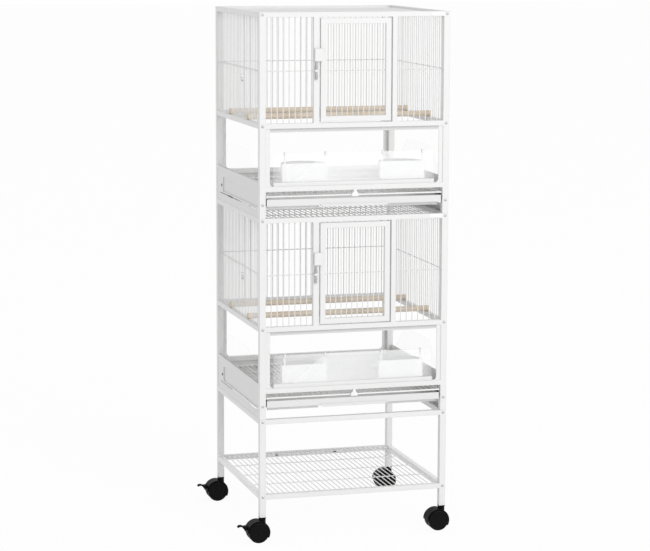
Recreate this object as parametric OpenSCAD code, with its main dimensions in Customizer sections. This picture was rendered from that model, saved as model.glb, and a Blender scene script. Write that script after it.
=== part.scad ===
// Two-tier rolling bird cage: two stacked wire units on a stand with a mesh shelf and casters.
// Millimetres. X runs left to right, Y front to back, Z up.
// The origin lies on the floor, centred under the frame.

/* [Overall] */
// outer width over the corner posts
cage_width = 470; // [380:5:620]
// outer depth over the corner posts
cage_depth = 446; // [360:5:600]
// height of one cage unit, and the pitch of the stack
tier_height = 485; // [420:5:600]
// top of the stand above the floor
stand_height = 300; // [220:5:420]
// centre height of the shelf above the floor
shelf_z = 110; // [95:1:180]

/* [Frame tubes] */
// side of the square corner posts and legs
post = 15; // [12:0.5:20]
// side of the square rails
rail = 12; // [10:0.5:16]
// wall of the tubes
tube_wall = 1; // [0.8:0.1:2]
// top of the middle rail above the bottom of its unit
mid_rail_top = 224; // [190:1:280]
// top of the low front and back rails
low_rail_top = 75; // [60:1:100]
// thickness of the pressed window frame in the feeding band
band_sheet = 1.5; // [1:0.1:2.5]
// visible side width of that window frame
band_side = 10.5; // [6:0.5:16]
// visible top width of that window frame
band_top = 8.5; // [5:0.5:14]
// radius of its two lower corners
band_corner = 10; // [4:0.5:20]

/* [Wires] */
// diameter of the upright and cross wires
wire = 2.3; // [1.8:0.1:3.5]
// wires in each narrow front panel
front_wires = 7; // [5:1:10]
// wires in the door
door_wires = 10; // [7:1:14]
// wires in the back panel
back_wires = 29; // [22:1:34]
// wires in each side panel
side_wires = 27; // [20:1:32]
// height of the cross wire above the bottom of its unit
cross_z = 347; // [300:1:400]
// front-to-back wires in a roof or a floor grate
deck_wires = 32; // [26:1:38]
// front-to-back wires in the shelf
shelf_wires = 33; // [26:1:38]
// diameter of the rim wire round a roof or a floor grate
rim_wire = 4; // [3:0.25:5]

/* [Door] */
// left edge of the door opening
door_left = -89; // [-110:1:-70]
// right edge of the door opening
door_right = 92; // [70:1:110]
// width of the latch post left of the door
latch_post = 14; // [10:0.5:18]
// width of the stile right of the door
stile = 12; // [10:0.5:18]
// gap between the door and the frame at the sides
door_gap = 3.5; // [2:0.25:5]
// gap above and below the door
door_gap_z = 2.6; // [1.5:0.1:4]
// width of the door's frame bars
door_bar = 13; // [10:0.5:16]
// depth of the door, front to back
door_depth = 10; // [8:0.5:12]
// distance of the pivot axis from the door's right edge
pivot_inset = 20; // [10:0.5:26]
// diameter of the pivot pins
pivot_pin = 5; // [3:0.25:6]
// radial clearance of the running fits
run_clear = 0.06; // [0.02:0.01:0.1]

/* [Latch] */
// diameter of the latch bolt
bolt_d = 4; // [3:0.25:6]
// travel of the bolt
bolt_travel = 8; // [5:0.5:8]
// lower edge of the catch above the bottom of its unit
catch_z = 370; // [340:1:400]
// height of the catch
catch_height = 30; // [20:1:40]

/* [Seed guards and cups] */
// thickness of the clear guards
guard = 2; // [1.5:0.1:4]
// top edge of the guards
guard_top = 153.5; // [130:0.5:180]
// half width of the front guard
guard_half = 200; // [150:1:205]
// half length of a side guard at its foot
side_guard_foot = 176; // [120:1:195]
// half length of a side guard at its top
side_guard_head = 95; // [60:1:190]
// width of a feeder cup
cup_width = 112; // [80:1:130]
// depth of a feeder cup
cup_depth = 65; // [45:1:90]
// height of a feeder cup
cup_height = 43; // [30:1:60]
// width of a cup's hooks
hook_w = 4; // [3:0.5:10]
// thickness of a cup's hooks
hook_t = 1.2; // [1:0.1:1.6]
// distance of each cup's middle from the middle of the cage
cup_offset = 121; // [80:1:135]

/* [Base, tray and grate] */
// top of the side walls
wall_top = 86; // [70:1:100]
// sheet thickness of the walls
sheet = 1.5; // [1:0.1:2]
// height of the hem along the top of a side wall
hem = 6.5; // [4:0.5:8]
// how far the hem stands out from the wall
hem_step = 0.6; // [0.3:0.1:0.8]
// depth of the pressed field in the side walls
field_depth = 3; // [1.5:0.25:5]
// lower edge of that field
field_z0 = 24; // [22.5:0.5:30]
// upper edge of that field
field_z1 = 63; // [50:0.5:70]
// back end of that field
field_y1 = 152; // [60:1:154]
// lower edge of the slot in the side walls
slot_z0 = 19.2; // [10:0.1:20]
// height of that slot
slot = 2; // [1:0.1:2.5]
// back end of that slot
slot_y1 = 180; // [100:1:200]
// middles of its two wider stretches
slot_wide_y = [-159, 71]; // [-170:1:150]
// length of a wider stretch
slot_wide = 50; // [20:1:70]
// distance of the wall screw behind the middle
wall_y = 162; // [160:1:190]
// height of the wall screw
wall_screw_z = 40; // [30:1:44]
// reach of the turned-in foot of a side wall
wall_foot = 14; // [10:0.5:16]
// reach of the runners of the tray and the grate
runner = 27; // [25:0.5:40]
// depth of the wing in front of the tray's runner
wing = 14; // [8:0.5:24]
// height of its turned-down edge
wing_drop = 8; // [4:0.5:12]
// gap between that edge and the corner post
wing_gap = 7; // [4:0.5:12]
// underside of the tray
tray_z = 28; // [24:0.5:34]
// height of the tray
tray_height = 16.3; // [10:0.1:17]
// sheet thickness of the tray
tray_sheet = 1.2; // [0.8:0.1:2]
// centre height of the grate's rim wire
grate_z = 51.2; // [49:0.1:58]
// half width of the tray's front
tray_half = 217; // [180:1:218]
// half width of its pull lip
lip_half = 85; // [40:1:120]
// how far that lip hangs below the tray
lip_drop = 3.6; // [2:0.1:6]

/* [Stacking] */
// diameter of the stacking pegs
peg_d = 6; // [4:0.5:8]
// distance of the pegs from the middle, front to back
peg_y = 150; // [100:5:180]

/* [Side clips] */
// height of the bright clip above the bottom of its unit
clip_z = 321; // [260:1:440]
// width of its two round ends
clip_d = 8; // [6:0.5:12]
// thickness of the clip
clip_t = 3.8; // [3.4:0.1:6]

/* [Perches] */
// diameter of a perch
perch_d = 14; // [10:0.5:20]
// side wires between the middle of the cage and each perch
perch_step = 6; // [3:1:10]

/* [Casters] */
// wheel diameter
wheel_d = 50; // [40:1:75]
// height of the leg ends above the floor
leg_end = 60; // [52:0.5:90]
// offset of the axle behind the swivel axis
trail = 12; // [8:0.5:20]
// width over both wheels
twin_width = 40; // [30:1:50]
// diameter of the swivel stem
stem_d = 8; // [6:0.5:11]

/* [Hidden] */
e = 0.2;
hw = cage_width / 2;
hd = cage_depth / 2;
px = hw - post / 2;
py = hd - post / 2;
span_x = cage_width - 2 * post;
span_y = cage_depth - 2 * post;
rail_y = hd - rail / 2;
rail_x = hw - rail / 2;
lower = stand_height;
upper = stand_height + tier_height;
roof_z = tier_height - rail / 2;
roof_ring = tier_height - 7;
door_w = door_right - door_left - 2 * door_gap;
door_x = (door_left + door_right) / 2;
door_lo = mid_rail_top + door_gap_z;
door_hi = tier_height - rail - door_gap_z;
door_edge = door_x + door_w / 2;
pivot_x = door_edge - pivot_inset;
door_yf = -hd + 0.5;
door_yc = door_yf + door_depth / 2;
deck_half = span_x / 2 - 4;
bolt_x = door_left - latch_post / 2 - 1.5;
bolt_y = -hd - 4.2;
guide_z = catch_z - 22;
bolt_top = catch_z - 1.5;
bolt_foot = guide_z - 2.5 - 0.5 - bolt_travel - 8;
guard_y = -hd + 8;
cup_y = guard_y + guard / 2 + 1.6;
cup_base = low_rail_top + 10;
screw_d = 4;
head_d = 7.4;
ledge_x = 150;
ledge = 1.5;
shelf_screw_x = 77;
unit_foot = 32;
field_y0 = -span_y / 2 + 3;
hook_y = guard_y - guard - 0.5;
guard_x = hw - sheet - 0.3 - guard / 2;
socket_h = 26;
axle_z = wheel_d / 2;
hood_r = wheel_d / 2 + 3.2;
axle_d = 6;
lever_x = -trail - hood_r - 2.8;
lever_z = axle_z + 11;
lever_pin = 3;
tray_run = tray_z - sheet - 0.3;
grate_run = grate_z - rim_wire / 2 - sheet - 0.3;
grate_front = -hd + 4;
grate_back = hd - rail - 7;
side_pitch = span_y / (side_wires + 1);
perch_z = mid_rail_top + perch_d / 2 + 0.3;
perch_y = perch_step * side_pitch;
side_wire_x = hw - rail / 2;

powder = [0.93, 0.93, 0.92];
clear = [0.85, 0.93, 0.96, 0.35];
zinc = [0.75, 0.76, 0.78];
wood = [0.80, 0.62, 0.42];
black = [0.08, 0.08, 0.08];

// Small helpers.

module box(x0, x1, y0, y1, z0, z1) {
    translate([x0, y0, z0]) cube([x1 - x0, y1 - y0, z1 - z0]);
}

// cross wires and rims are drawn with 8 and 12 sides, the others round
module rod_x(x0, x1, y, z, d, n = 24) {
    translate([x0, y, z]) rotate([0, 90, 0]) rotate(180 / n) cylinder(d = d, h = x1 - x0, $fn = n);
}

module rod_y(x, y0, y1, z, d, n = 24) {
    translate([x, y0, z]) rotate([-90, 0, 0]) cylinder(d = d, h = y1 - y0, $fn = n);
}

module rod_z(x, y, z0, z1, d) {
    translate([x, y, z0]) cylinder(d = d, h = z1 - z0, $fn = 24);
}

// square tube along X, its ends open
module tube_x(x0, x1, y, z, s) {
    difference() {
        box(x0, x1, y - s / 2, y + s / 2, z - s / 2, z + s / 2);
        box(x0 - 1, x1 + 1, y - s / 2 + tube_wall, y + s / 2 - tube_wall,
            z - s / 2 + tube_wall, z + s / 2 - tube_wall);
    }
}

// square tube along Y, closed at both ends by a drilled plate for the frame screws
module tube_y(x, y0, y1, z, s, hole_x) {
    difference() {
        box(x - s / 2, x + s / 2, y0, y1, z - s / 2, z + s / 2);
        box(x - s / 2 + tube_wall, x + s / 2 - tube_wall, y0 + 2, y1 - 2,
            z - s / 2 + tube_wall, z + s / 2 - tube_wall);
        rod_y(hole_x, y0 - 1, y0 + 3, z, screw_d);
        rod_y(hole_x, y1 - 3, y1 + 1, z, screw_d);
    }
}

// upright tube, closed on top, drilled front to back at the given heights
module post_z(x, y, z0, z1, holes) {
    difference() {
        box(x - post / 2, x + post / 2, y - post / 2, y + post / 2, z0, z1);
        box(x - post / 2 + tube_wall, x + post / 2 - tube_wall,
            y - post / 2 + tube_wall, y + post / 2 - tube_wall, z0 - 1, z1 - 1);
        for (h = holes) rod_y(x, y - post, y + post, h, screw_d);
    }
}

// evenly spaced upright wires between x0 and x1
module wire_row_x(x0, x1, n, y, z0, z1) {
    for (i = [1:n]) rod_z(x0 + (x1 - x0) * i / (n + 1), y, z0, z1, wire);
}

// pressed window frame of the feeding band, in the plane of the front
module band_frame(y0) {
    x1 = span_x / 2 + e;
    z1 = mid_rail_top - rail + e;
    x2 = span_x / 2 - band_side;
    z2 = mid_rail_top - rail - band_top;
    translate([0, y0 + band_sheet, 0]) rotate([90, 0, 0]) linear_extrude(band_sheet) difference() {
        translate([-x1, low_rail_top - e]) square([2 * x1, z1 - low_rail_top + e]);
        difference() {
            translate([-x2, low_rail_top - 1]) square([2 * x2, z2 - low_rail_top + 1]);
            for (m = [0, 1]) mirror([m, 0]) difference() {
                translate([x2 - band_corner, low_rail_top - 1]) square([band_corner + 1, band_corner + 1]);
                translate([x2 - band_corner, low_rail_top + band_corner]) circle(r = band_corner, $fn = 48);
            }
        }
    }
}

// Frames and wire panels of one unit, drawn from its own bottom plane.
UNIT_HOLES = [unit_foot, mid_rail_top - rail / 2, tier_height - rail / 2];

module front_frame() {
    pl = door_left - latch_post;
    sr = door_right + stile;
    color(powder) difference() {
        union() {
            post_z(-px, -py, 0, tier_height, UNIT_HOLES);
            post_z(px, -py, 0, tier_height, UNIT_HOLES);
            tube_x(-span_x / 2 - e, span_x / 2 + e, -rail_y, roof_z, rail);
            tube_x(-span_x / 2 - e, span_x / 2 + e, -rail_y, mid_rail_top - rail / 2, rail);
            tube_x(-span_x / 2 - e, span_x / 2 + e, -rail_y, low_rail_top - rail / 2, rail);
            upright(pl, door_left);
            upright(door_right, sr);
            band_frame(-hd + 1.5);
            // wires of the two narrow panels, let into the rails
            wire_row_x(-span_x / 2, pl, front_wires, -rail_y, mid_rail_top - 0.6, tier_height - rail + 0.6);
            wire_row_x(sr, span_x / 2, front_wires, -rail_y, mid_rail_top - 0.6, tier_height - rail + 0.6);
            rod_x(-span_x / 2 - e, pl + e, -rail_y + wire * 0.85, cross_z, wire);
            rod_x(sr - e, span_x / 2 + e, -rail_y + wire * 0.85, cross_z, wire);
            // channel that holds the foot of the front guard
            difference() {
                box(-guard_half, guard_half, guard_y - guard / 2 - 1.6, guard_y + guard / 2 + 1.2,
                    low_rail_top - e, low_rail_top + 9);
                box(-guard_half - 1, guard_half + 1, guard_y - guard / 2 - 0.1, guard_y + guard / 2 + 0.1,
                    low_rail_top + 1.5, low_rail_top + 10);
            }
            roof_ledges(-hd + rail - e, -hd + rail + 9);
            // guide loop of the latch bolt
            difference() {
                box(bolt_x - 4.5, bolt_x + 4.5, bolt_y - 4, -hd + e, guide_z - 2.5, guide_z + 2.5);
                rod_z(bolt_x, bolt_y, guide_z - 5, guide_z + 5, bolt_d + 2 * run_clear);
            }
        }
        // drillings for the door pivots
        rod_z(pivot_x, door_yc, tier_height - rail - 1, tier_height - rail + 6, pivot_pin);
        rod_z(pivot_x, door_yc, mid_rail_top - 6, mid_rail_top + 1, pivot_pin);
    }
}

// two ledges that carry the rim wire of the roof
module roof_ledges(y0, y1) {
    z = roof_ring - rim_wire / 2;
    for (x = [-ledge_x, ledge_x]) box(x - 10, x + 10, y0, y1, z - ledge, z);
}

// hollow upright between the middle and the top rail
module upright(x0, x1) {
    t = tube_wall;
    difference() {
        box(x0, x1, -hd, -hd + rail, mid_rail_top - e, tier_height - rail + e);
        box(x0 + t, x1 - t, -hd + t, -hd + rail - t, mid_rail_top + e, tier_height - rail - e);
    }
}

module back_frame() {
    color(powder) {
        post_z(-px, py, 0, tier_height, UNIT_HOLES);
        post_z(px, py, 0, tier_height, UNIT_HOLES);
        tube_x(-span_x / 2 - e, span_x / 2 + e, rail_y, roof_z, rail);
        tube_x(-span_x / 2 - e, span_x / 2 + e, rail_y, mid_rail_top - rail / 2, rail);
        tube_x(-span_x / 2 - e, span_x / 2 + e, rail_y, low_rail_top - rail / 2, rail);
        band_frame(hd - 1.5 - band_sheet);
        wire_row_x(-span_x / 2, span_x / 2, back_wires, rail_y, mid_rail_top - 0.6, tier_height - rail + 0.6);
        rod_x(-span_x / 2 - e, span_x / 2 + e, rail_y - wire * 0.85, cross_z, wire);
        roof_ledges(hd - rail - 9, hd - rail + e);
    }
}

// side panel: top rail, middle rail, wires; s is -1 for left and 1 for right
module side_panel(s) {
    color(powder) difference() {
        union() {
            tube_y(s * rail_x, -span_y / 2, span_y / 2, roof_z, rail, s * px);
            tube_y(s * rail_x, -span_y / 2, span_y / 2, mid_rail_top - rail / 2, rail, s * px);
            for (i = [1:side_wires])
                rod_z(s * side_wire_x, -span_y / 2 + side_pitch * i,
                    mid_rail_top - 0.6, tier_height - rail + 0.6, wire);
            rod_y(s * (side_wire_x - wire * 0.85), -span_y / 2, span_y / 2, cross_z, wire);
        }
        // stacking holes in the top rail
        for (y = [-peg_y, peg_y]) rod_z(s * px, y, tier_height - 3, tier_height + 1, peg_d);
    }
}

module roof() {
    color(powder) deck(deck_half, hd - rail - rim_wire / 2 - 0.5, roof_ring, rim_wire, 3);
}

// rim wire ring with front-to-back wires on top and cross wires beneath
module deck(h, k, z, rim, cross) {
    p = 2 * h / (deck_wires + 1);
    rod_x(-h - rim / 2, h + rim / 2, -k, z, rim, 12);
    rod_x(-h - rim / 2, h + rim / 2, k, z, rim, 12);
    rod_y(-h, -k - rim / 2, k + rim / 2, z, rim);
    rod_y(h, -k - rim / 2, k + rim / 2, z, rim);
    for (i = [1:deck_wires]) rod_y(-h + p * i, -k, k, z + 0.6, wire, 14);
    for (i = [1:cross]) rod_x(-h, h, -k + 2 * k * i / (cross + 1), z - 0.8, wire, 8);
}

// Door, latch and perches.
module door() {
    x0 = door_edge - door_w;
    color(powder) difference() {
        union() {
            difference() {
                box(x0, door_edge, door_yf, door_yf + door_depth, door_lo, door_hi);
                box(x0 + door_bar, door_edge - door_bar, door_yf - 1, door_yf + door_depth + 1,
                    door_lo + door_bar, door_hi - door_bar);
                // the bars are hollow between their solid corners
                for (x = [x0, door_edge - door_bar])
                    box(x + tube_wall, x + door_bar - tube_wall,
                        door_yf + tube_wall, door_yf + door_depth - tube_wall,
                        door_lo + door_bar + 2, door_hi - door_bar - 2);
                for (z = [door_lo, door_hi - door_bar])
                    box(x0 + door_bar + 2, pivot_x - 8, door_yf + tube_wall, door_yf + door_depth - tube_wall,
                        z + tube_wall, z + door_bar - tube_wall);
            }
            wire_row_x(x0 + door_bar, door_edge - door_bar, door_wires, door_yc,
                door_lo + door_bar - 0.6, door_hi - door_bar + 0.6);
            rod_x(x0 + door_bar - 0.6, door_edge - door_bar + 0.6, door_yc + wire * 0.85, cross_z, wire);
            // catch that reaches over the latch post
            difference() {
                union() {
                    box(bolt_x - 4.5, x0 + 4, bolt_y - 4, -hd - 1, catch_z, catch_z + catch_height);
                    box(x0, x0 + 4, -hd - 1 - e, door_yf + e, catch_z, catch_z + catch_height);
                }
                rod_z(bolt_x, bolt_y, catch_z - 1, catch_z + 14, bolt_d + 2 * run_clear);
            }
        }
        rod_z(pivot_x, door_yc, door_hi - 9, door_hi + 1, pivot_pin + 2 * run_clear);
        rod_z(pivot_x, door_yc, door_lo - 1, door_lo + 9, pivot_pin + 2 * run_clear);
    }
}

// turned bolt with a ribbed grip above its guide and a ball end below
module latch_bolt() {
    color(zinc) translate([bolt_x, bolt_y, 0]) {
        cylinder_between(bolt_foot, bolt_top, bolt_d);
        for (i = [0:2]) cylinder_between(guide_z + 4.5 + i * 2.8, guide_z + 6.1 + i * 2.8, bolt_d + 2.6);
        cylinder_between(bolt_foot, bolt_foot + 8, bolt_d + 2);
        translate([0, 0, bolt_foot]) sphere(d = bolt_d + 2, $fn = 32);
    }
}

module cylinder_between(z0, z1, d) {
    translate([0, 0, z0]) cylinder(d = d, h = z1 - z0, $fn = 32);
}

// wooden perch, slotted at both ends to straddle a side wire
module perch(y) {
    x1 = side_wire_x + 3;
    color(wood) difference() {
        translate([-x1, y, perch_z]) rotate([0, 90, 0]) cylinder(d = perch_d, h = 2 * x1, $fn = 64);
        for (m = [0, 1]) mirror([m, 0, 0])
            box(side_wire_x - wire / 2 - 0.6, x1 + 1, y - wire / 2 - 0.35, y + wire / 2 + 0.35,
                perch_z - perch_d, perch_z + perch_d);
    }
}

// Sheet-metal base: side walls with a pressed field, slot, runners and the channel of the side guard.
module wall_left() {
    x = -hw;
    k = span_y / 2;
    color(powder) difference() {
        union() {
            difference() {
                box(x, x + sheet, -k, k, 0, wall_top);
                box(x - 1, x + sheet + 1, -k + 2, slot_y1, slot_z0, slot_z0 + slot);
                for (y = slot_wide_y) box(x - 1, x + sheet + 1, y - slot_wide / 2, y + slot_wide / 2,
                    slot_z0 - 1, slot_z0 + slot + 1);
                box(x - 1, x + sheet + 1, field_y0 + 1, field_y1 - 1, field_z0 + 1, field_z1 - 1);
            }
            difference() {
                box(x, x + sheet + field_depth, field_y0, field_y1, field_z0, field_z1);
                box(x - 1, x + field_depth, field_y0 + sheet, field_y1 - sheet,
                    field_z0 + sheet, field_z1 - sheet);
            }
            // turned-in foot, end flanges and the runners of the tray and the grate
            box(x, x + wall_foot, -k, k, 0, sheet);
            box(x, x + wall_foot, -k, -k + sheet, field_z0, field_z1);
            box(x, x + wall_foot, k - sheet, k, field_z0, field_z1);
            box(x + field_depth + sheet - e, x + runner, -k + 2, grate_back, tray_run, tray_run + sheet);
            box(x + field_depth + sheet - e, x + runner, -k + 2, grate_back, grate_run, grate_run + sheet);
            // wing of the tray's runner, its front edge turned down beside the pull lip
            box(x + runner - e, -lip_half, -k + 2, -k + 2 + wing, tray_run, tray_run + sheet);
            box(x + post + wing_gap, -lip_half, -k + 2, -k + 2 + sheet,
                tray_run + sheet - wing_drop, tray_run + sheet);
            // channel of the side guard
            box(x + sheet - e, x + sheet + guard + 2.1, -k, k, wall_top - 10, wall_top - 8.5);
            box(x + sheet + guard + 0.6, x + sheet + guard + 2.1, -k, k, wall_top - 10, wall_top);
        }
        for (y0 = [-k - 1, k - sheet - 1]) rod_y(-px, y0, y0 + sheet + 2, unit_foot, screw_d);
        for (y = [-peg_y, peg_y]) rod_z(-px, y, -1, sheet + 1, peg_d);
        rod_x(x - 1, x + sheet + 1, wall_y, wall_screw_z, screw_d);
        // the wall lies behind its hem
        box(x - 1, x + hem_step, -k - 1, k + 1, -1, wall_top - hem);
    }
}

module wall_right() {
    mirror([1, 0, 0]) wall_left();
}

module wall_back() {
    x = span_x / 2;
    y = hd - 6.5;
    color(powder) {
        box(-x, x, y, y + sheet, 0, low_rail_top - rail);
        box(-x, x, y - 10, y + e, 0, sheet);
        // two pressed ribs
        for (z = [20, 42]) box(-x + 12, x - 12, y + sheet - e, y + sheet + 1.5, z, z + 5);
    }
}

// Clear seed guards.
module guard_front() {
    color(clear) {
        box(-guard_half, guard_half, guard_y - guard / 2, guard_y + guard / 2, low_rail_top + 1.5, guard_top);
        // doubled hem along the top edge
        box(-guard_half, guard_half, guard_y - guard, guard_y + guard, guard_top - 9, guard_top);
    }
}

module guard_side(s) {
    z0 = wall_top - 8.5;
    a = side_guard_foot;
    b = side_guard_head;
    color(clear) translate([s * guard_x - guard / 2, 0, 0]) rotate([90, 0, 90]) linear_extrude(guard)
        polygon([[-a, z0], [a, z0], [a, wall_top], [b, guard_top], [-b, guard_top], [-a, wall_top]]);
}

// half-round feeder cup that hangs by two hooks over the hem of the front guard
module cup(s) {
    w = 2;
    r = cup_width / 2;
    d = cup_depth - r;
    zt = cup_base + cup_height;
    color(powder) translate([s * cup_offset, cup_y, 0]) {
        difference() {
            translate([0, 0, cup_base]) linear_extrude(cup_height) cup_plan(r, 0, d);
            translate([0, 0, cup_base + w]) linear_extrude(cup_height) cup_plan(r - w, w, d);
        }
        // hooks over the hem of the guard
        y = hook_y - hook_t - cup_y;
        z = guard_top + 0.5;
        for (x = [-r + 4, r - 4 - hook_w]) {
            box(x, x + hook_w, 0, hook_t, zt - 8, z + hook_t);
            box(x, x + hook_w, y, hook_t, z, z + hook_t);
            box(x, x + hook_w, y, y + hook_t, guard_top - 5, z + hook_t);
        }
    }
}

module cup_plan(r, y0, d) {
    translate([-r, y0]) square([2 * r, d - y0 + e]);
    intersection() {
        translate([0, d]) circle(r = r, $fn = 96);
        translate([-r - 1, d]) square([2 * r + 2, r + 1]);
    }
}

// Slide-out floor grate with its pull tab, and the slide-out tray.
module grate() {
    k = (grate_back - grate_front) / 2;
    color(powder) translate([0, (grate_back + grate_front) / 2, 0]) deck(deck_half, k, grate_z, rim_wire, 4);
}

module grate_tab() {
    y = grate_front;
    color(powder) difference() {
        union() {
            box(-8, 8, -hd - 2.6, y - 0.1, grate_z - 3.4, grate_z + 3.4);
            translate([0, -hd - 1, 0]) rotate([90, 0, 0]) linear_extrude(1.6)
                translate([0, grate_z]) polygon([[-8, -3.4], [8, -3.4], [7, 4], [3.2, 8], [3.2, 14],
                    [-3.2, 14], [-3.2, 8], [-7, 4]]);
        }
        rod_x(-10, 10, y, grate_z, rim_wire);
    }
}

module tray() {
    t = tray_sheet;
    x1 = tray_half - 3;
    y0 = -hd + 3;
    y1 = grate_back;
    color(powder) {
        difference() {
            box(-x1, x1, y0, y1, tray_z, tray_z + tray_height);
            box(-x1 + t, x1 - t, y0 + t, y1 - t, tray_z + t, tray_z + tray_height + 1);
        }
        box(-tray_half, tray_half, y0 - t, y0 + e, tray_z, tray_z + tray_height);
        // pull lip below the middle of the front
        difference() {
            translate([0, y0 + e, tray_z]) rotate([90, 0, 0]) linear_extrude(2 * t + 1.4 + e)
                polygon([[-lip_half, 3], [-lip_half, 0], [-lip_half + 7, -lip_drop],
                    [lip_half - 7, -lip_drop], [lip_half, 0], [lip_half, 3]]);
            box(-lip_half - 1, lip_half + 1, y0 - t - 1.4, y0 + 1, tray_z - lip_drop - 1, tray_z - e);
        }
    }
}

// Stand.
STAND_HOLES = [shelf_z, stand_height - rail / 2];

module stand_front_frame() {
    color(powder) {
        post_z(-px, -py, leg_end, stand_height, STAND_HOLES);
        post_z(px, -py, leg_end, stand_height, STAND_HOLES);
        tube_x(-span_x / 2 - e, span_x / 2 + e, -rail_y, stand_height - rail / 2, rail);
        tube_x(-span_x / 2 - e, span_x / 2 + e, -rail_y, shelf_z, rail);
    }
}

module stand_back_frame() {
    color(powder) difference() {
        union() {
            post_z(-px, py, leg_end, stand_height, STAND_HOLES);
            post_z(px, py, leg_end, stand_height, STAND_HOLES);
            tube_x(-span_x / 2 - e, span_x / 2 + e, rail_y, stand_height - rail / 2, rail);
            tube_x(-span_x / 2 - e, span_x / 2 + e, rail_y, shelf_z, rail);
        }
        for (x = [-shelf_screw_x, shelf_screw_x]) rod_y(x, hd - rail - 1, hd - rail + 3, shelf_z, 3);
    }
}

module stand_rail(s) {
    color(powder) difference() {
        tube_y(s * rail_x, -span_y / 2, span_y / 2, stand_height - rail / 2, rail, s * px);
        for (y = [-peg_y, peg_y]) rod_z(s * px, y, stand_height - 3, stand_height + 1, peg_d);
    }
}

module stand_shelf() {
    z = shelf_z + 4;
    k = hd - rail - 0.6;
    p = 2 * (hw - rail) / (shelf_wires + 1);
    color(powder) {
        for (s = [-1, 1]) tube_y(s * rail_x, -span_y / 2, span_y / 2, shelf_z, rail, s * px);
        for (i = [1:shelf_wires]) rod_y(-hw + rail + p * i, -k, k, z, wire, 14);
        for (i = [0:4]) rod_x(-hw + rail - 0.6, hw - rail + 0.6, (k - 4) * (i - 2) / 2, z - 1.6, wire, 8);
    }
}

// round-headed screw along +Y from the point where its head seats
module screw(len, hd_d) {
    rotate([-90, 0, 0]) cylinder(d = screw_d, h = len, $fn = 32);
    rotate([90, 0, 0]) cylinder(d = hd_d, h = 1.1, $fn = 32);
    rotate([90, 0, 0]) translate([0, 0, 1.1 - e]) cylinder(d = hd_d - 1.6, h = 0.8, $fn = 32);
}

module frame_screws() {
    zs = concat([for (h = UNIT_HOLES) lower + h], [for (h = UNIT_HOLES) upper + h], STAND_HOLES);
    color(zinc) {
        for (z = zs) for (s = [-1, 1]) {
            translate([s * px, -hd, z]) screw(post + 6, head_d);
            translate([s * px, hd, z]) rotate([0, 0, 180]) screw(post + 6, head_d);
        }
        for (z = [lower + wall_screw_z, upper + wall_screw_z]) for (s = [-1, 1])
            translate([s * (hw - hem_step), wall_y, z]) rotate([0, 0, s * 90]) screw(6, head_d);
        for (x = [-shelf_screw_x, shelf_screw_x]) translate([x, hd - rail, shelf_z]) {
            rotate([-90, 0, 0]) cylinder(d = 3, h = 3, $fn = 32);
            rotate([90, 0, 0]) cylinder(d = 5, h = 1.2, $fn = 32);
        }
    }
}

module door_pivots() {
    color(zinc) for (z = [lower, upper]) translate([pivot_x, door_yc, z]) {
        cylinder_between(door_hi - 8, tier_height - rail + 5, pivot_pin);
        cylinder_between(tier_height - rail - 2, tier_height - rail, pivot_pin + 3);
        cylinder_between(mid_rail_top - 5, door_lo + 8, pivot_pin);
        cylinder_between(mid_rail_top, mid_rail_top + 2, pivot_pin + 3);
    }
}

module stacking_pegs() {
    color(zinc) for (z = [lower, upper]) for (x = [-px, px]) for (y = [-peg_y, peg_y]) translate([x, y, z]) {
        cylinder_between(-6, sheet + 1.5, peg_d);
        cylinder_between(sheet, sheet + 1.5, peg_d + 3);
    }
}

// small bright clip on a wire of each left panel
module side_clips() {
    y = -2 * side_pitch;
    h = clip_d + 1;
    color(zinc) for (z = [lower, upper]) translate([-side_wire_x, y, z + clip_z]) difference() {
        union() {
            for (i = [-1, 1]) rotate([0, 90, 0]) translate([i * h / 2, 0, -clip_t / 2])
                cylinder(d = clip_d, h = clip_t, $fn = 48);
            box(-clip_t / 2, clip_t / 2, -clip_d / 2, clip_d / 2, -h / 2, h / 2);
        }
        rod_z(0, 0, -2 * h, 2 * h, wire);
    }
}

module leg_sockets() {
    w = post - 2 * tube_wall;
    color(black) for (sx = [-1, 1]) for (sy = [-1, 1]) translate([sx * px, sy * py, leg_end]) difference() {
        union() {
            box(-w / 2, w / 2, -w / 2, w / 2, -e, socket_h);
            box(-post / 2, post / 2, -post / 2, post / 2, -2, 0);
        }
        translate([0, 0, -3]) cylinder(d = stem_d + 2 * run_clear, h = socket_h + 4, $fn = 48);
    }
}

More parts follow.
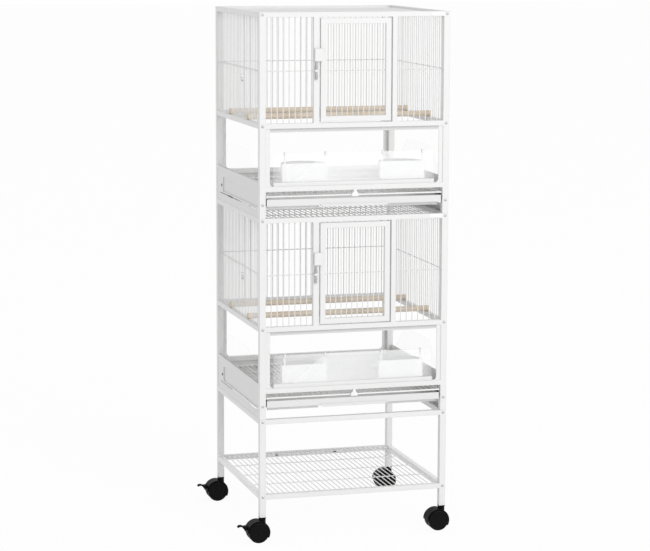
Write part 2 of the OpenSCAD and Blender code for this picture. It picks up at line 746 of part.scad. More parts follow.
// Casters. Each is drawn at the origin with its swivel axis on Z and its axle behind it, towards -X.
module caster_housing(braked) {
    w = twin_width - 6;
    color(black) difference() {
        union() {
            translate([-trail, w / 2, axle_z]) rotate([90, 0, 0]) cylinder(r = hood_r, h = w, $fn = 96);
            translate([0, 0, axle_z + 14]) cylinder(d = 17, h = leg_end - 2 - 0.6 - axle_z - 14, $fn = 64);
            translate([0, 0, leg_end - 8]) cylinder(d = stem_d, h = socket_h + 6, $fn = 48);
            // ears of the brake lever
            if (braked) for (y = [-7.6, 4.6]) {
                translate([lever_x, y, lever_z]) rotate([-90, 0, 0]) cylinder(r = 4.5, h = 3, $fn = 48);
                box(lever_x, lever_x + 9, y, y + 3, lever_z - 4.5, lever_z + 4.5);
            }
        }
        // pockets of the two wheels
        for (m = [0, 1]) mirror([0, m, 0])
            translate([-trail, w / 2 + 1, axle_z]) rotate([90, 0, 0])
                cylinder(r = wheel_d / 2 + 0.9, h = w / 2 + 1 - 3.6, $fn = 96);
        // open underside, cut on a slope
        translate([-trail, 0, axle_z]) rotate([0, 14, 0])
            box(-wheel_d, wheel_d, -w, w, -wheel_d, -7);
        // axle and lever bores
        translate([-trail, w, axle_z]) rotate([90, 0, 0])
            cylinder(d = axle_d + 2 * run_clear, h = 2 * w, $fn = 48);
        if (braked) translate([lever_x, w, lever_z]) rotate([90, 0, 0])
            cylinder(d = lever_pin + 2 * run_clear, h = 2 * w, $fn = 48);
    }
}

module caster_wheels() {
    r = wheel_d / 2;
    t = twin_width / 2;
    c = 2.4;
    color(black) translate([-trail, 0, axle_z]) rotate([90, 0, 0]) {
        for (m = [0, 1]) mirror([0, 0, m])
            rotate_extrude($fn = 96) polygon([[0, 4.2], [r - 1, 4.2], [r, 5.2], [r, t - c],
                [r - 0.7, t - 0.7], [r - c, t], [r - 5, t], [r - 5.6, t - 0.8],
                [6, t - 0.8], [5, t], [0, t]]);
        translate([0, 0, -4.2 - e]) cylinder(d = axle_d, h = 8.4 + 2 * e, $fn = 48);
    }
}

module caster_brake() {
    color(black) translate([lever_x, 0, lever_z]) {
        rotate([90, 0, 0]) translate([0, 0, -4.2]) cylinder(r = 3.8, h = 8.4, $fn = 48);
        rotate([90, 0, 0]) translate([0, 0, -7.6]) cylinder(d = lever_pin, h = 15.2, $fn = 32);
        translate([0, 4.2, 0]) rotate([90, 0, 0]) linear_extrude(8.4)
            polygon([[-1, -3.2], [-6, 1.4], [-10.5, 3.4], [-14, 3.2], [-16.4, 1.2], [-19, 2.6],
                [-18.4, 5], [-15.2, 7.2], [-10, 7.4], [-4.6, 5], [0, 3.6]]);
    }
}

module at_corner(sx, sy) {
    translate([sx * px, sy * py, 0]) children();
}

module stand_rail_left() {
    stand_rail(-1);
}

module stand_rail_right() {
    stand_rail(1);
}

module caster_fl_housing() {
    at_corner(-1, -1) caster_housing(true);
}

module caster_fr_housing() {
    at_corner(1, -1) caster_housing(false);
}

module caster_bl_housing() {
    at_corner(-1, 1) caster_housing(true);
}

module caster_br_housing() {
    at_corner(1, 1) caster_housing(false);
}

module caster_fl_wheels() {
    at_corner(-1, -1) caster_wheels();
}

module caster_fr_wheels() {
    at_corner(1, -1) caster_wheels();
}

module caster_bl_wheels() {
    at_corner(-1, 1) caster_wheels();
}

module caster_br_wheels() {
    at_corner(1, 1) caster_wheels();
}

module caster_fl_brake() {
    at_corner(-1, -1) caster_brake();
}

module caster_bl_brake() {
    at_corner(-1, 1) caster_brake();
}

module lower_front_frame() {
    translate([0, 0, lower]) front_frame();
}

module lower_back_frame() {
    translate([0, 0, lower]) back_frame();
}

module lower_left_panel() {
    translate([0, 0, lower]) side_panel(-1);
}

module lower_right_panel() {
    translate([0, 0, lower]) side_panel(1);
}

module lower_roof() {
    translate([0, 0, lower]) roof();
}

module lower_door() {
    translate([0, 0, lower]) door();
}

module lower_latch_bolt() {
    translate([0, 0, lower]) latch_bolt();
}

module lower_perch_rear() {
    translate([0, 0, lower]) perch(perch_y);
}

module lower_perch_front() {
    translate([0, 0, lower]) perch(-perch_y);
}

module lower_wall_left() {
    translate([0, 0, lower]) wall_left();
}

module lower_wall_right() {
    translate([0, 0, lower]) wall_right();
}

module lower_wall_back() {
    translate([0, 0, lower]) wall_back();
}

module lower_guard_front() {
    translate([0, 0, lower]) guard_front();
}

module lower_guard_left() {
    translate([0, 0, lower]) guard_side(-1);
}

module lower_guard_right() {
    translate([0, 0, lower]) guard_side(1);
}

module lower_cup_left() {
    translate([0, 0, lower]) cup(-1);
}

module lower_cup_right() {
    translate([0, 0, lower]) cup(1);
}

module lower_grate() {
    translate([0, 0, lower]) grate();
}

module lower_grate_tab() {
    translate([0, 0, lower]) grate_tab();
}

module lower_tray() {
    translate([0, 0, lower]) tray();
}

module upper_front_frame() {
    translate([0, 0, upper]) front_frame();
}

module upper_back_frame() {
    translate([0, 0, upper]) back_frame();
}

module upper_left_panel() {
    translate([0, 0, upper]) side_panel(-1);
}

module upper_right_panel() {
    translate([0, 0, upper]) side_panel(1);
}

module upper_roof() {
    translate([0, 0, upper]) roof();
}

module upper_door() {
    translate([0, 0, upper]) door();
}

module upper_latch_bolt() {
    translate([0, 0, upper]) latch_bolt();
}

module upper_perch_rear() {
    translate([0, 0, upper]) perch(perch_y);
}

module upper_perch_front() {
    translate([0, 0, upper]) perch(-perch_y);
}

module upper_wall_left() {
    translate([0, 0, upper]) wall_left();
}

module upper_wall_right() {
    translate([0, 0, upper]) wall_right();
}

module upper_wall_back() {
    translate([0, 0, upper]) wall_back();
}

module upper_guard_front() {
    translate([0, 0, upper]) guard_front();
}

module upper_guard_left() {
    translate([0, 0, upper]) guard_side(-1);
}

module upper_guard_right() {
    translate([0, 0, upper]) guard_side(1);
}

module upper_cup_left() {
    translate([0, 0, upper]) cup(-1);
}

module upper_cup_right() {
    translate([0, 0, upper]) cup(1);
}

module upper_grate() {
    translate([0, 0, upper]) grate();
}

module upper_grate_tab() {
    translate([0, 0, upper]) grate_tab();
}

module upper_tray() {
    translate([0, 0, upper]) tray();
}

stand_front_frame();
stand_back_frame();
stand_rail_left();
stand_rail_right();
stand_shelf();
frame_screws();
door_pivots();
stacking_pegs();
side_clips();
leg_sockets();
caster_fl_housing();
caster_fr_housing();
caster_bl_housing();
caster_br_housing();
caster_fl_wheels();
caster_fr_wheels();
caster_bl_wheels();
caster_br_wheels();
caster_fl_brake();
caster_bl_brake();
lower_front_frame();
lower_back_frame();
lower_left_panel();
lower_right_panel();
lower_roof();
lower_door();
lower_latch_bolt();
lower_perch_rear();
lower_perch_front();
lower_wall_left();
lower_wall_right();
lower_wall_back();
lower_guard_front();
lower_guard_left();
lower_guard_right();
lower_cup_left();
lower_cup_right();
lower_grate();
lower_grate_tab();
lower_tray();
upper_front_frame();
upper_back_frame();
upper_left_panel();
upper_right_panel();
upper_roof();
upper_door();
upper_latch_bolt();
upper_perch_rear();
upper_perch_front();
upper_wall_left();
upper_wall_right();
upper_wall_back();
upper_guard_front();
upper_guard_left();
upper_guard_right();
upper_cup_left();
upper_cup_right();
upper_grate();
upper_grate_tab();
upper_tray();
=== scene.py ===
import bpy, bmesh, math
from mathutils import Matrix, Vector


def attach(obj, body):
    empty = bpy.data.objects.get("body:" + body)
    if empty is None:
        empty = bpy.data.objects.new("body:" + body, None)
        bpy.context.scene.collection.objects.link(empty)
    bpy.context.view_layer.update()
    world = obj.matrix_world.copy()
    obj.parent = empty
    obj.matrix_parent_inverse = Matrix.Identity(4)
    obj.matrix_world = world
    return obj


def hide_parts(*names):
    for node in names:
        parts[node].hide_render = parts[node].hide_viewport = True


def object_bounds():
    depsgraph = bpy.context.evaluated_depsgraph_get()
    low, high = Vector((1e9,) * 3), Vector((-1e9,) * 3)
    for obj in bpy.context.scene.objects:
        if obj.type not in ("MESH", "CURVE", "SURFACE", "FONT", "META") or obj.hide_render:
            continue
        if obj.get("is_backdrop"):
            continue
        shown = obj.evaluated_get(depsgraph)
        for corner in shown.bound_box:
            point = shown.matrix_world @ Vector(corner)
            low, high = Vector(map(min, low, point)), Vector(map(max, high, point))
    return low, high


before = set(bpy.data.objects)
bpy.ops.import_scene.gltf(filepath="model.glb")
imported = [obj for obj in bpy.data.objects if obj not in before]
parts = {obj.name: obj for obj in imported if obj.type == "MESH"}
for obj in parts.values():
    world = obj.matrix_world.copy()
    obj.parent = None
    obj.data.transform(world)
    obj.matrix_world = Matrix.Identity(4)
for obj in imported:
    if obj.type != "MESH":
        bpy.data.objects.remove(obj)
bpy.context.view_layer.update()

# Stand and cage frames. Square steel tube, cut, welded and sprayed with a white powder
# coat that is baked on, so it has a faint orange peel and slightly rounded edges. The
# top strip of each feeding window, just under its rail, carries painted shade.
UNITS = ("lower_", "upper_")
STAND_TOP = 0.300
TIER = 0.485
WINDOW_TOP, RAIL_FOOT, WINDOW_HALF = 0.2035, 0.212, 0.2095
TUBE_COAT = ((0.765, 0.767, 0.765), (0.79, 0.79, 0.787))
TUBE_EDGE = 0.0013
RAIL_SHADE_GREY = (0.22, 0.22, 0.23)
RAIL_SHADE_FADE = (0.12, 0.62)


def bench(tree):
    """A maker of nodes for one tree, which links or sets their sockets by name."""
    def add(kind, **sockets):
        made = tree.nodes.new("ShaderNode" + kind)
        for key, value in sockets.items():
            key = key.replace("_", " ")
            if isinstance(value, bpy.types.NodeSocket):
                tree.links.new(value, made.inputs[key])
            else:
                made.inputs[key].default_value = value
        return made

    return add


def finish_named(name):
    """An empty finish with its tree, its shader and its maker of nodes."""
    finish = bpy.data.materials.new(name)
    finish.use_nodes = True
    tree = finish.node_tree
    return finish, tree, tree.nodes["Principled BSDF"], bench(tree)


def speckle(add, spot, per_metre, detail=2.0, rough=0.5):
    """Noise fixed to the piece, with so many spots to the metre."""
    return add("TexNoise", Vector=spot, Scale=per_metre, Detail=detail, Roughness=rough).outputs["Fac"]


def between(add, value, low, high, start=0.0, stop=1.0):
    """Stretch a value that runs from start to stop, so that it runs from low to high."""
    made = add("MapRange", Value=value, From_Min=start, From_Max=stop, To_Min=low, To_Max=high)
    return made.outputs["Result"]


def reckon(add, kind, *values):
    """One step of a sum on sockets and plain numbers."""
    made = add("Math")
    made.operation = kind
    for socket, value in zip(made.inputs, values):
        if isinstance(value, bpy.types.NodeSocket):
            made.id_data.links.new(value, socket)
        else:
            socket.default_value = value
    return made.outputs[0]


def mixed(add, share, first, second, kind="MIX"):
    """A colour between two others, each a socket or a plain colour."""
    made = add("Mix")
    made.data_type = "RGBA"
    made.blend_type = kind
    made.id_data.links.new(share, made.inputs[0])
    for socket, colour in ((made.inputs[6], first), (made.inputs[7], second)):
        if isinstance(colour, bpy.types.NodeSocket):
            made.id_data.links.new(colour, socket)
        else:
            socket.default_value = (*colour, 1)
    return made.outputs[2]


def shade_where(finish, share, colour):
    """Paint a finish over with another colour, by a share that runs from 0 to 1."""
    tree = finish.node_tree
    base = tree.nodes["Principled BSDF"].inputs["Base Color"]
    tree.links.new(mixed(bench(tree), share, base.links[0].from_socket, colour), base)


def place_on(finish):
    """Sockets with the X, Y and Z of a point on the piece."""
    tree = finish.node_tree
    spot = tree.nodes["Texture Coordinate"].outputs["Object"]
    return bench(tree)("SeparateXYZ", Vector=spot).outputs


def height_in_unit(add, z):
    """The height of a point over the foot of the unit that it is in."""
    return reckon(add, "MODULO", reckon(add, "SUBTRACT", z, STAND_TOP), TIER)


def sprayed(name, coat, gloss, edge):
    """White powder coat: cloudy, with an orange peel, and rounded at the edges."""
    cloud, dull, peel = 9.0, 60.0, 1100.0
    finish, tree, surface, add = finish_named(name)
    spot = add("TexCoord").outputs["Object"]
    tree.links.new(mixed(add, speckle(add, spot, cloud, 3.0), *coat), surface.inputs["Base Color"])
    tree.links.new(between(add, speckle(add, spot, dull), gloss - 0.05, gloss + 0.06),
                   surface.inputs["Roughness"])
    skin = add("Bump", Strength=0.16, Distance=0.0002, Height=speckle(add, spot, peel, 1.0))
    if edge:
        rounded = add("Bevel", Radius=edge)
        rounded.samples = 4
        tree.links.new(rounded.outputs["Normal"], skin.inputs["Normal"])
    tree.links.new(skin.outputs["Normal"], surface.inputs["Normal"])
    surface.inputs["Coat Weight"].default_value = 0.12
    surface.inputs["Coat Roughness"].default_value = 0.18
    return finish


def painted_rail_shade(finish):
    """Paint shade on the top strip of each feeding window, just under the middle rail, darkest at the top.
    """
    add = bench(finish.node_tree)
    x, _, z = place_on(finish)
    hair = 0.0001
    height = height_in_unit(add, z)
    inside = reckon(add, "LESS_THAN", reckon(add, "ABSOLUTE", x), WINDOW_HALF)
    below = reckon(add, "LESS_THAN", height, RAIL_FOOT - hair)
    above = reckon(add, "GREATER_THAN", height, WINDOW_TOP - hair)
    # the painted shade is strongest next to the rail and fades downwards
    depth = between(add, height, *RAIL_SHADE_FADE, WINDOW_TOP, RAIL_FOOT)
    beside = reckon(add, "MULTIPLY", inside, below)
    share = reckon(add, "MULTIPLY", beside, reckon(add, "MULTIPLY", above, depth))
    shade_where(finish, share, RAIL_SHADE_GREY)


def dress(finish, *names):
    """Give whole pieces of the cage one finish."""
    for name in names:
        for slot in parts[name].material_slots:
            slot.material = finish


tube_white = sprayed("tube_white", TUBE_COAT, 0.36, TUBE_EDGE)
dress(tube_white, "stand_front_frame", "stand_back_frame", "stand_rail_left", "stand_rail_right")
front_white_rail_shade = sprayed("front_white_rail_shade", TUBE_COAT, 0.36, TUBE_EDGE)
# painted shade on the strip under each middle rail
painted_rail_shade(front_white_rail_shade)
for unit in UNITS:
    dress(tube_white, unit + "back_frame", unit + "left_panel", unit + "right_panel")
    dress(front_white_rail_shade, unit + "front_frame")

# Shelf, roofs and floor grates. Drawn steel wire, spot welded into flat grilles and
# sprayed with the same white, a little thinner and glossier than on the tubes.
WIRE_COAT = ((0.85, 0.851, 0.85), (0.872, 0.872, 0.869))
wire_white = sprayed("wire_white", WIRE_COAT, 0.30, 0)
dress(wire_white, "stand_shelf")
for unit in UNITS:
    dress(wire_white, unit + "roof", unit + "grate", unit + "grate_tab")

# Doors. Wires in a frame of square tube, with a boxed catch welded to the latch side,
# sprayed in one go with the frames.
for unit in UNITS:
    dress(tube_white, unit + "door")

# Side and back walls and trays. Pressed steel sheet with the same coat, smoother than
# the tube, with a faint cloudiness over its wide faces.
SHEET_COAT = ((0.715, 0.717, 0.716), (0.745, 0.745, 0.742))
sheet_white = sprayed("sheet_white", SHEET_COAT, 0.38, 0.0007)
for unit in UNITS:
    dress(sheet_white, unit + "wall_left", unit + "wall_right", unit + "wall_back", unit + "tray")

# Latch bolts, door pivots, pegs and clips. Turned and stamped steel with bright zinc,
# fine turning marks round the bolts and small differences in its shine.
def plated(name, colour, gloss, turnings):
    """Zinc with so many turning marks to the metre."""
    stains, smears = 220.0, 500.0
    finish, tree, surface, add = finish_named(name)
    spot = add("TexCoord").outputs["Object"]
    surface.inputs["Metallic"].default_value = 1.0
    stained = mixed(add, speckle(add, spot, stains, 3.0), colour, [c * 0.86 for c in colour])
    tree.links.new(stained, surface.inputs["Base Color"])
    tree.links.new(between(add, speckle(add, spot, smears, 4.0), gloss - 0.06, gloss + 0.1),
                   surface.inputs["Roughness"])
    ring = add("TexWave", Vector=spot, Scale=turnings, Distortion=0.6, Detail=1.0)
    ring.bands_direction = "Z"
    mark = add("Bump", Strength=0.2, Distance=0.00008, Height=ring.outputs["Fac"])
    tree.links.new(mark.outputs["Normal"], surface.inputs["Normal"])
    return finish


zinc = plated("bright_zinc", (0.72, 0.73, 0.75), 0.24, 900.0)
dress(zinc, "door_pivots", "stacking_pegs", "side_clips")
bolt_zinc = plated("bolt_zinc", (0.55, 0.555, 0.56), 0.16, 900.0)
dress(bolt_zinc, "lower_latch_bolt", "upper_latch_bolt")

# Frame screws. Steel screws with a domed head and a cross recess, plated a darker grey,
# driven through the corner posts into the side rails. Those of the shelf and the side
# walls are blackened.
SHELF_REACH, WALL_REACH = 0.12, 0.20
WASHER = 0.0006
HEAD_RISE = 0.257
SHANK_R = 0.27


def blacken(finish):
    """Blacken the screws that lie inside the four corner posts: shelf and side walls."""
    tree = finish.node_tree
    add = bench(tree)
    x, y, _ = place_on(finish)
    shelf = reckon(add, "LESS_THAN", reckon(add, "ABSOLUTE", x), SHELF_REACH)
    wall = reckon(add, "LESS_THAN", reckon(add, "ABSOLUTE", y), WALL_REACH)
    black = reckon(add, "MAXIMUM", shelf, wall)
    shade_where(finish, black, (0.012, 0.012, 0.013))
    tree.links.new(between(add, black, 1.0, 0.0), tree.nodes["Principled BSDF"].inputs["Metallic"])


def loose(name, corners, faces):
    """An object made from its corners and its faces."""
    mesh = bpy.data.meshes.new(name)
    mesh.from_pydata(corners, [], faces)
    piece = bpy.data.objects.new(name, mesh)
    bpy.context.scene.collection.objects.link(piece)
    return piece


def cross_head(turns=32, rings=8):
    """A domed head one unit wide, flat on the XY plane, with a cross recess in its crown."""
    points = []
    for t in (math.pi / 2 * i / rings for i in range(rings)):
        ring_r = 0.5 * math.cos(t)
        for a in (2 * math.pi * k / turns for k in range(turns)):
            points.append((ring_r * math.cos(a), ring_r * math.sin(a), HEAD_RISE * math.sin(t)))
    points.append((0, 0, HEAD_RISE))
    skin = [tuple(reversed(range(turns)))]
    for start in range(0, (rings - 1) * turns, turns):
        skin += [(start + k, start + (k + 1) % turns, start + turns + (k + 1) % turns, start + turns + k)
                 for k in range(turns)]
    last = (rings - 1) * turns
    skin += [(last + k, last + (k + 1) % turns, rings * turns) for k in range(turns)]

    half, reach, floor_z, over = 0.06, 0.27, 0.4 * HEAD_RISE, 2 * HEAD_RISE
    arm = [(half, half), (half, reach), (-half, reach)]
    cross = [(x * math.cos(q) - y * math.sin(q), x * math.sin(q) + y * math.cos(q))
             for q in (math.pi / 2 * k for k in range(4)) for x, y in arm]
    n = len(cross)
    bar = [(x, y, z) for z in (floor_z, over) for x, y in cross]
    sides = [(k, (k + 1) % n, n + (k + 1) % n, n + k) for k in range(n)]
    dome = loose("dome", points, skin)
    recess = loose("recess", bar, sides + [tuple(reversed(range(n))), tuple(range(n, 2 * n))])
    cut = dome.modifiers.new("recess", "BOOLEAN")
    cut.object = recess
    cut.solver = "EXACT"
    head = bpy.data.meshes.new_from_object(dome.evaluated_get(bpy.context.evaluated_depsgraph_get()))
    for piece in (dome, recess):
        bpy.data.objects.remove(piece)
    return head


def each_solid(node):
    """The lowest and highest corner of every separate solid in a CAD node."""
    block = bmesh.new()
    block.from_mesh(parts[node].data)
    bmesh.ops.remove_doubles(block, verts=block.verts, dist=1e-6)
    taken = set()
    found = []
    for start in block.verts:
        if start.index in taken:
            continue
        taken.add(start.index)
        group = [start]
        for vert in group:
            for edge in vert.link_edges:
                other = edge.other_vert(vert)
                if other.index not in taken:
                    taken.add(other.index)
                    group.append(other)
        low, high = (Vector([pick(v.co[k] for v in group) for k in range(3)]) for pick in (min, max))
        found.append((low, high))
    block.free()
    return found


def put_in(name, block, *finishes):
    """Turn a finished block into an object with its finish."""
    mesh = bpy.data.meshes.new(name)
    block.to_mesh(mesh)
    block.free()
    piece = bpy.data.objects.new(name, mesh)
    bpy.context.scene.collection.objects.link(piece)
    for finish in finishes:
        mesh.materials.append(finish)
    return piece


screw_zinc = plated("screw_zinc", (0.60, 0.605, 0.61), 0.30, 1500.0)
blacken(screw_zinc)
head = cross_head()
block = bmesh.new()
shelf_screws = []
for low, high in each_solid("frame_screws"):
    middle = (low + high) / 2
    on_shelf = abs(middle.x) < SHELF_REACH
    if on_shelf:
        out = Vector((0, -1, 0))
    elif abs(middle.y) < WALL_REACH:
        out = Vector((math.copysign(1, middle.x), 0, 0))
    else:
        out = Vector((0, math.copysign(1, middle.y), 0))
    length = abs((high - low).dot(out))
    wide = high.z - low.z
    shank = length - HEAD_RISE * wide
    seat = middle + out * (shank - length / 2)
    if on_shelf:
        shelf_screws.append(seat)
        seat = seat + out * WASHER
    aim = Matrix.Translation(seat) @ out.to_track_quat("Z", "Y").to_matrix().to_4x4()
    placed = head.copy()
    placed.transform(aim @ Matrix.Scale(wide, 4))
    block.from_mesh(placed)
    bpy.data.meshes.remove(placed)
    bmesh.ops.create_cone(block, cap_ends=True, segments=20, radius1=SHANK_R * wide, radius2=SHANK_R * wide,
                          depth=shank, matrix=aim @ Matrix.Translation((0, 0, -shank / 2)))
screws = put_in("cross_screws", block, screw_zinc)
screws.data.shade_smooth()
screws.data.set_sharp_from_angle(angle=math.radians(35))
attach(screws, "frame")
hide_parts("frame_screws")

# Seed guards. Clear acrylic sheet, flame polished at its edges, with a doubled hem
# along the top of the front one. It has a cold tint, and the front ones carry a painted
# reflection: a slanted streak of glare, which thins out with their milkiness towards their two ends.
ACRYLIC_IOR = 1.49
SHADOW_CUT = -0.85
GLARE_LEAN = -1.19
GLARE_FROM, GLARE_TO = -0.30, 0.0
GLARE_STEPS = ((0.14, 0.0), (0.17, 1.0), (0.45, 1.0), (0.85, 0.15))
MILK_AND_GLARE_FULL, MILK_AND_GLARE_END, MILK_AND_GLARE_LEFT = 0.165, 0.199, 0.3


def acrylic(name, colour, alpha, edge_alpha, glare_share=0.0):
    """Clear sheet that holds back so much light, and more at its cut edges, with a painted streak of glare
    where glare_share is set.
    """
    finish, tree, surface, add = finish_named(name)
    spot = add("TexCoord").outputs["Object"]
    lighter = [min(1, c * 1.03) for c in colour]
    tree.links.new(mixed(add, speckle(add, spot, 14.0), colour, lighter), surface.inputs["Base Color"])
    tree.links.new(between(add, speckle(add, spot, 90.0, 5.0, 0.7), 0.03, 0.10), surface.inputs["Roughness"])
    surface.inputs["IOR"].default_value = ACRYLIC_IOR
    # the cut edges, which face up, gather light and look milky
    facing = add("SeparateXYZ", Vector=add("NewGeometry").outputs["True Normal"]).outputs
    milk_and_glare = between(add, reckon(add, "ABSOLUTE", facing["Z"]), alpha, edge_alpha)
    if glare_share:
        # the painted glare streak is sharp on its left and fades to the right
        x, _, z = place_on(finish)
        slant = reckon(add, "MULTIPLY_ADD", height_in_unit(add, z), GLARE_LEAN, x)
        glare_ramp = add("ValToRGB", Fac=between(add, slant, 0.0, 1.0, GLARE_FROM, GLARE_TO))
        steps = glare_ramp.color_ramp.elements
        for number, (position, level) in enumerate(GLARE_STEPS):
            step = steps[number] if number < 2 else steps.new(position)
            step.position = position
            step.color = (level, level, level, 1)
        milk_and_glare = reckon(add, "MULTIPLY_ADD", glare_ramp.outputs["Color"], glare_share, milk_and_glare)
        # the milkiness and the painted glare both thin out towards the two ends
        ends = between(add, reckon(add, "ABSOLUTE", x), 1.0, MILK_AND_GLARE_LEFT, MILK_AND_GLARE_FULL, MILK_AND_GLARE_END)
        milk_and_glare = reckon(add, "MULTIPLY", milk_and_glare, ends)
    # what it holds back of the light comes out again on the other side, so its shadow is thin
    thin = reckon(add, "MULTIPLY_ADD", add("LightPath").outputs["Is Shadow Ray"], SHADOW_CUT, 1.0)
    tree.links.new(reckon(add, "MULTIPLY", milk_and_glare, thin), surface.inputs["Alpha"])
    return finish


# the front guards carry the painted glare streak
front_acrylic = acrylic("front_acrylic", (0.95, 0.953, 0.955), 0.33, 0.60, 0.14)
side_acrylic = acrylic("side_acrylic", (0.97, 0.98, 0.985), 0.035, 0.16)
for unit in UNITS:
    dress(front_acrylic, unit + "guard_front")
    dress(side_acrylic, unit + "guard_left", unit + "guard_right")

# Feeder cups. Moulded white plastic with two hooks that hang over the guard's hem,
# smooth, with the soft sheen and the faint flow marks of a moulding.
CUP_INSIDE = -0.205
TURNED_FORWARD = -0.05
CUP_SHADE_GREY = (0.34, 0.34, 0.345)
CUP_COAT = ((0.83, 0.83, 0.828), (0.85, 0.85, 0.848))


def moulded(name, coat, gloss, grain, depth, shine=0.5):
    """A moulding with so many flow marks to the metre, and softly rounded edges."""
    flow, dull, edge = 40.0, 120.0, 0.0006
    finish, tree, surface, add = finish_named(name)
    spot = add("TexCoord").outputs["Object"]
    tree.links.new(mixed(add, speckle(add, spot, flow, 3.0), *coat), surface.inputs["Base Color"])
    tree.links.new(between(add, speckle(add, spot, dull), gloss - 0.04, gloss + 0.06),
                   surface.inputs["Roughness"])
    skin = add("Bump", Strength=0.25, Distance=depth, Height=speckle(add, spot, grain, 2.0))
    rounded = add("Bevel", Radius=edge)
    rounded.samples = 4
    tree.links.new(rounded.outputs["Normal"], skin.inputs["Normal"])
    tree.links.new(skin.outputs["Normal"], surface.inputs["Normal"])
    surface.inputs["Specular IOR Level"].default_value = shine
    return finish


def inner_shade(finish):
    """Paint shade on the curved inside of a cup: faces turned to the front, behind its front wall, are
    greyed.
    """
    add = bench(finish.node_tree)
    facing = add("SeparateXYZ", Vector=add("NewGeometry").outputs["True Normal"]).outputs
    forward = reckon(add, "LESS_THAN", facing["Y"], TURNED_FORWARD)
    behind = reckon(add, "GREATER_THAN", place_on(finish)["Y"], CUP_INSIDE)
    shade_where(finish, reckon(add, "MULTIPLY", forward, behind), CUP_SHADE_GREY)


cup_white = moulded("cup_plastic", CUP_COAT, 0.30, 700.0, 0.00006)
# painted shade on the inside of each cup
inner_shade(cup_white)
for unit in UNITS:
    dress(cup_white, unit + "cup_left", unit + "cup_right")

# Perches. Turned softwood dowel, sanded and left bare, slotted at both ends. The grain
# runs along the dowel, and the cut ends show rings.
EARLY_WOOD, LATE_WOOD = (0.70, 0.60, 0.485), (0.825, 0.735, 0.62)
FLECK = (0.78, 0.68, 0.58)


def dowel(name):
    """Wood with its grain drawn out along X."""
    finish, tree, surface, add = finish_named(name)
    long = add("Mapping", Vector=add("TexCoord").outputs["Object"], Scale=(0.06, 1.0, 1.0)).outputs["Vector"]
    grain = add("TexWave", Vector=long, Scale=230.0, Distortion=7.0, Detail=3.0)
    grain.bands_direction = "Z"
    fleck = speckle(add, long, 900.0, 3.0)
    ramp = add("ValToRGB", Fac=grain.outputs["Fac"])
    for step, colour in zip(ramp.color_ramp.elements, (EARLY_WOOD, LATE_WOOD)):
        step.color = (*colour, 1)
    flecked = mixed(add, between(add, fleck, 0.0, 0.35), ramp.outputs["Color"], FLECK, "MULTIPLY")
    tree.links.new(flecked, surface.inputs["Base Color"])
    tree.links.new(between(add, fleck, 0.5, 0.72), surface.inputs["Roughness"])
    rib = add("Bump", Strength=0.3, Distance=0.0002, Height=grain.outputs["Fac"])
    tree.links.new(rib.outputs["Normal"], surface.inputs["Normal"])
    return finish


perch_wood = dowel("perch_wood")
for unit in UNITS:
    dress(perch_wood, unit + "perch_rear", unit + "perch_front")

# Casters and leg sockets. Black nylon mouldings: a hood with a web between two wheels,
# a press-down brake lever on the two left ones, and a socket pushed into each leg.
HOOD_COAT = ((0.0025, 0.0025, 0.003), (0.004, 0.004, 0.0045))
TREAD_COAT = ((0.003, 0.003, 0.0035), (0.0045, 0.0045, 0.005))
hood_black = moulded("hood_nylon", HOOD_COAT, 0.50, 1600.0, 0.0001, 0.10)
tread_black = moulded("wheel_nylon", TREAD_COAT, 0.42, 1200.0, 0.00008, 0.08)
dress(hood_black, "leg_sockets", "caster_fl_brake", "caster_bl_brake")
for corner in ("fl", "fr", "bl", "br"):
    dress(hood_black, f"caster_{corner}_housing")
    dress(tread_black, f"caster_{corner}_wheels")

# Shelf washers. Two oblong washers stamped from black nylon sheet, under the screws that
# hold the shelf to the stand's back rail.
WASHER_LONG, WASHER_HIGH, WASHER_HOLE = 0.0115, 0.0052, 0.0014


def washer_block(turns=32):
    """An oblong washer with a round hole, lying against the rail's front."""
    block = bmesh.new()
    end_r = WASHER_HIGH / 2
    rims = []
    for level in (0.0, WASHER):
        outer, inner = [], []
        for angle in (2 * math.pi * (k + 0.5) / turns for k in range(turns)):
            c, s = math.cos(angle), math.sin(angle)
            shift = math.copysign(WASHER_LONG / 2 - end_r, c)
            outer.append(block.verts.new((end_r * c + shift, -level, end_r * s)))
            inner.append(block.verts.new((WASHER_HOLE * c, -level, WASHER_HOLE * s)))
        rims.append((outer, inner))
    (back_out, back_in), (front_out, front_in) = rims
    for k in range(turns):
        n = (k + 1) % turns
        for first, second in ((back_out, front_out), (front_out, front_in),
                              (front_in, back_in), (back_in, back_out)):
            block.faces.new((first[k], first[n], second[n], second[k]))
    bmesh.ops.recalc_face_normals(block, faces=block.faces)
    return block


for number, spot in enumerate(shelf_screws, 1):
    block = washer_block()
    bmesh.ops.translate(block, verts=block.verts, vec=spot)
    washer = put_in(f"shelf_washer_{number}", block, hood_black)
    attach(washer, "frame")

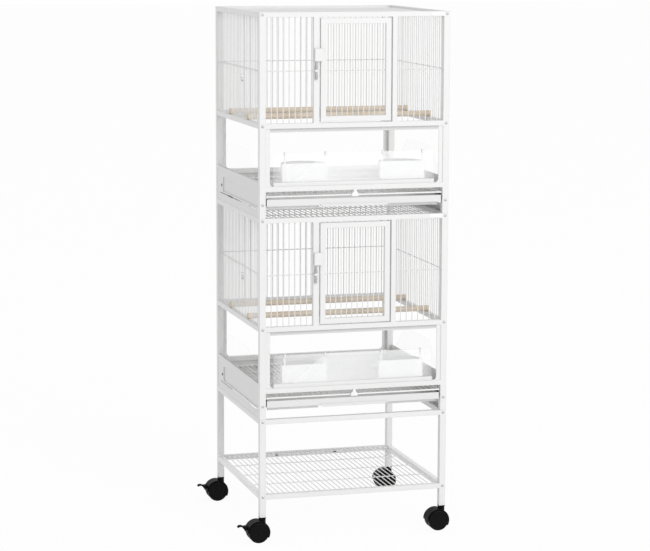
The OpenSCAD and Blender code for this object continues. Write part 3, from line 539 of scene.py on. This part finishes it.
# Blank plates. A small plate of thin white enamelled sheet near the right end of each
# unit's top front rail, with round corners, glued on and left bare.
PLATE_WIDE, PLATE_THICK, PLATE_HIGH = 0.032, 0.0006, 0.0085
PLATE_X, PLATE_Y, PLATE_DROP = 0.2035, -0.2232, 0.0055
PLATE_CORNER = 0.0015
ENAMEL = ((0.88, 0.88, 0.875), (0.90, 0.90, 0.895))
plate_white = moulded("plate_enamel", ENAMEL, 0.22, 500.0, 0.00003)
for number, unit in enumerate(UNITS, 1):
    block = bmesh.new()
    bmesh.ops.create_cube(block, size=1.0)
    bmesh.ops.scale(block, verts=block.verts, vec=(PLATE_WIDE, PLATE_THICK, PLATE_HIGH))
    through = [e for e in block.edges if abs((e.verts[0].co - e.verts[1].co).y) > 1e-5]
    bmesh.ops.bevel(block, geom=through, offset=PLATE_CORNER, segments=4, affect="EDGES")
    top = STAND_TOP + number * TIER
    bmesh.ops.translate(block, verts=block.verts, vec=(PLATE_X, PLATE_Y, top - PLATE_DROP))
    plate = put_in(unit + "blank_plate", block, plate_white)
    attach(plate, "frame")

# Studio. A white floor without an edge, an even white sky and one broad soft lamp from
# the front right, so that the fronts are a little lighter than the left sides.
FLOOR_HALF = 40
FLOOR_GLOW, SKY_LIGHT = 0.94, 0.75
LAMP_PLACE, LAMP_AIM = Vector((2.4, -6.6, 3.6)), Vector((0, 0, 0.6))
LAMP_SIZE, LAMP_POWER = 5.0, 212.0


def seen(add):
    """One for what the eye, a mirror or clear sheet sees, and nought for the light on things."""
    path = add("LightPath").outputs
    mirrored = reckon(add, "MAXIMUM", path["Is Camera Ray"], path["Is Glossy Ray"])
    return reckon(add, "MAXIMUM", mirrored, path["Is Transmission Ray"])


def either(tree, share, first, second, output):
    """Link a blend of two shaders to the output of a tree."""
    blended = tree.nodes.new("ShaderNodeMixShader")
    for socket, source in zip(blended.inputs, (share, first.outputs[0], second.outputs[0])):
        tree.links.new(source, socket)
    tree.links.new(blended.outputs[0], tree.nodes[output].inputs["Surface"])


floor_white, tree, surface, add = finish_named("floor_white")
surface.inputs["Base Color"].default_value = (0.95, 0.95, 0.95, 1)
surface.inputs["Roughness"].default_value = 0.9
surface.inputs["Specular IOR Level"].default_value = 0.1
glow = add("Emission", Color=(1, 1, 1, 1), Strength=1.0)
either(tree, reckon(add, "MULTIPLY", seen(add), FLOOR_GLOW), surface, glow, "Material Output")
corners = [(FLOOR_HALF * x, FLOOR_HALF * y, 0) for x, y in ((-1, -1), (1, -1), (1, 1), (-1, 1))]
floor = loose("floor", corners, [(0, 1, 2, 3)])
floor.data.materials.append(floor_white)
floor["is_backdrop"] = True

sky = bpy.data.worlds.new("studio")
bpy.context.scene.world = sky
sky.use_nodes = True
tree = sky.node_tree
add = bench(tree)
even = tree.nodes["Background"]
even.inputs["Color"].default_value = (1, 1, 1, 1)
even.inputs["Strength"].default_value = SKY_LIGHT
white = add("Background", Color=(1, 1, 1, 1))
either(tree, seen(add), even, white, "World Output")

lamp = bpy.data.lights.new("soft_lamp", "AREA")
lamp.shape = "DISK"
lamp.size = LAMP_SIZE
lamp.energy = LAMP_POWER
key = bpy.data.objects.new("soft_lamp", lamp)
bpy.context.scene.collection.objects.link(key)
key.location = LAMP_PLACE
key.rotation_euler = (LAMP_AIM - LAMP_PLACE).to_track_quat("-Z", "Y").to_euler()

# Camera. It stands to the left of the front, a little higher than the cage, and looks
# down on it. The angles and the lens come from the corners of the frame.
FOCAL_PX, IMAGE_WIDE = 2300.0, 650
EYE_PLACE = (-1.571, -5.447, 1.459)
YAW, PITCH, ROLL = math.radians(15.99), math.radians(8.53), math.radians(0.184)
lens = bpy.data.cameras.new("camera")
lens.sensor_width = 36.0
lens.lens = FOCAL_PX / IMAGE_WIDE * lens.sensor_width
lens.clip_end = 60
eye = bpy.data.objects.new("camera", lens)
bpy.context.scene.collection.objects.link(eye)
ahead = Vector((math.sin(YAW) * math.cos(PITCH), math.cos(YAW) * math.cos(PITCH), -math.sin(PITCH)))
right = Vector((math.cos(YAW), -math.sin(YAW), 0))
up = right.cross(ahead)
across = right * math.cos(ROLL) + up * math.sin(ROLL)
above = up * math.cos(ROLL) - right * math.sin(ROLL)
turn = Matrix((across, above, -ahead)).transposed().to_4x4()
eye.matrix_world = Matrix.Translation(EYE_PLACE) @ turn
bpy.context.scene.camera = eye
bpy.context.scene.view_settings.view_transform = "Standard"

low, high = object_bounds()
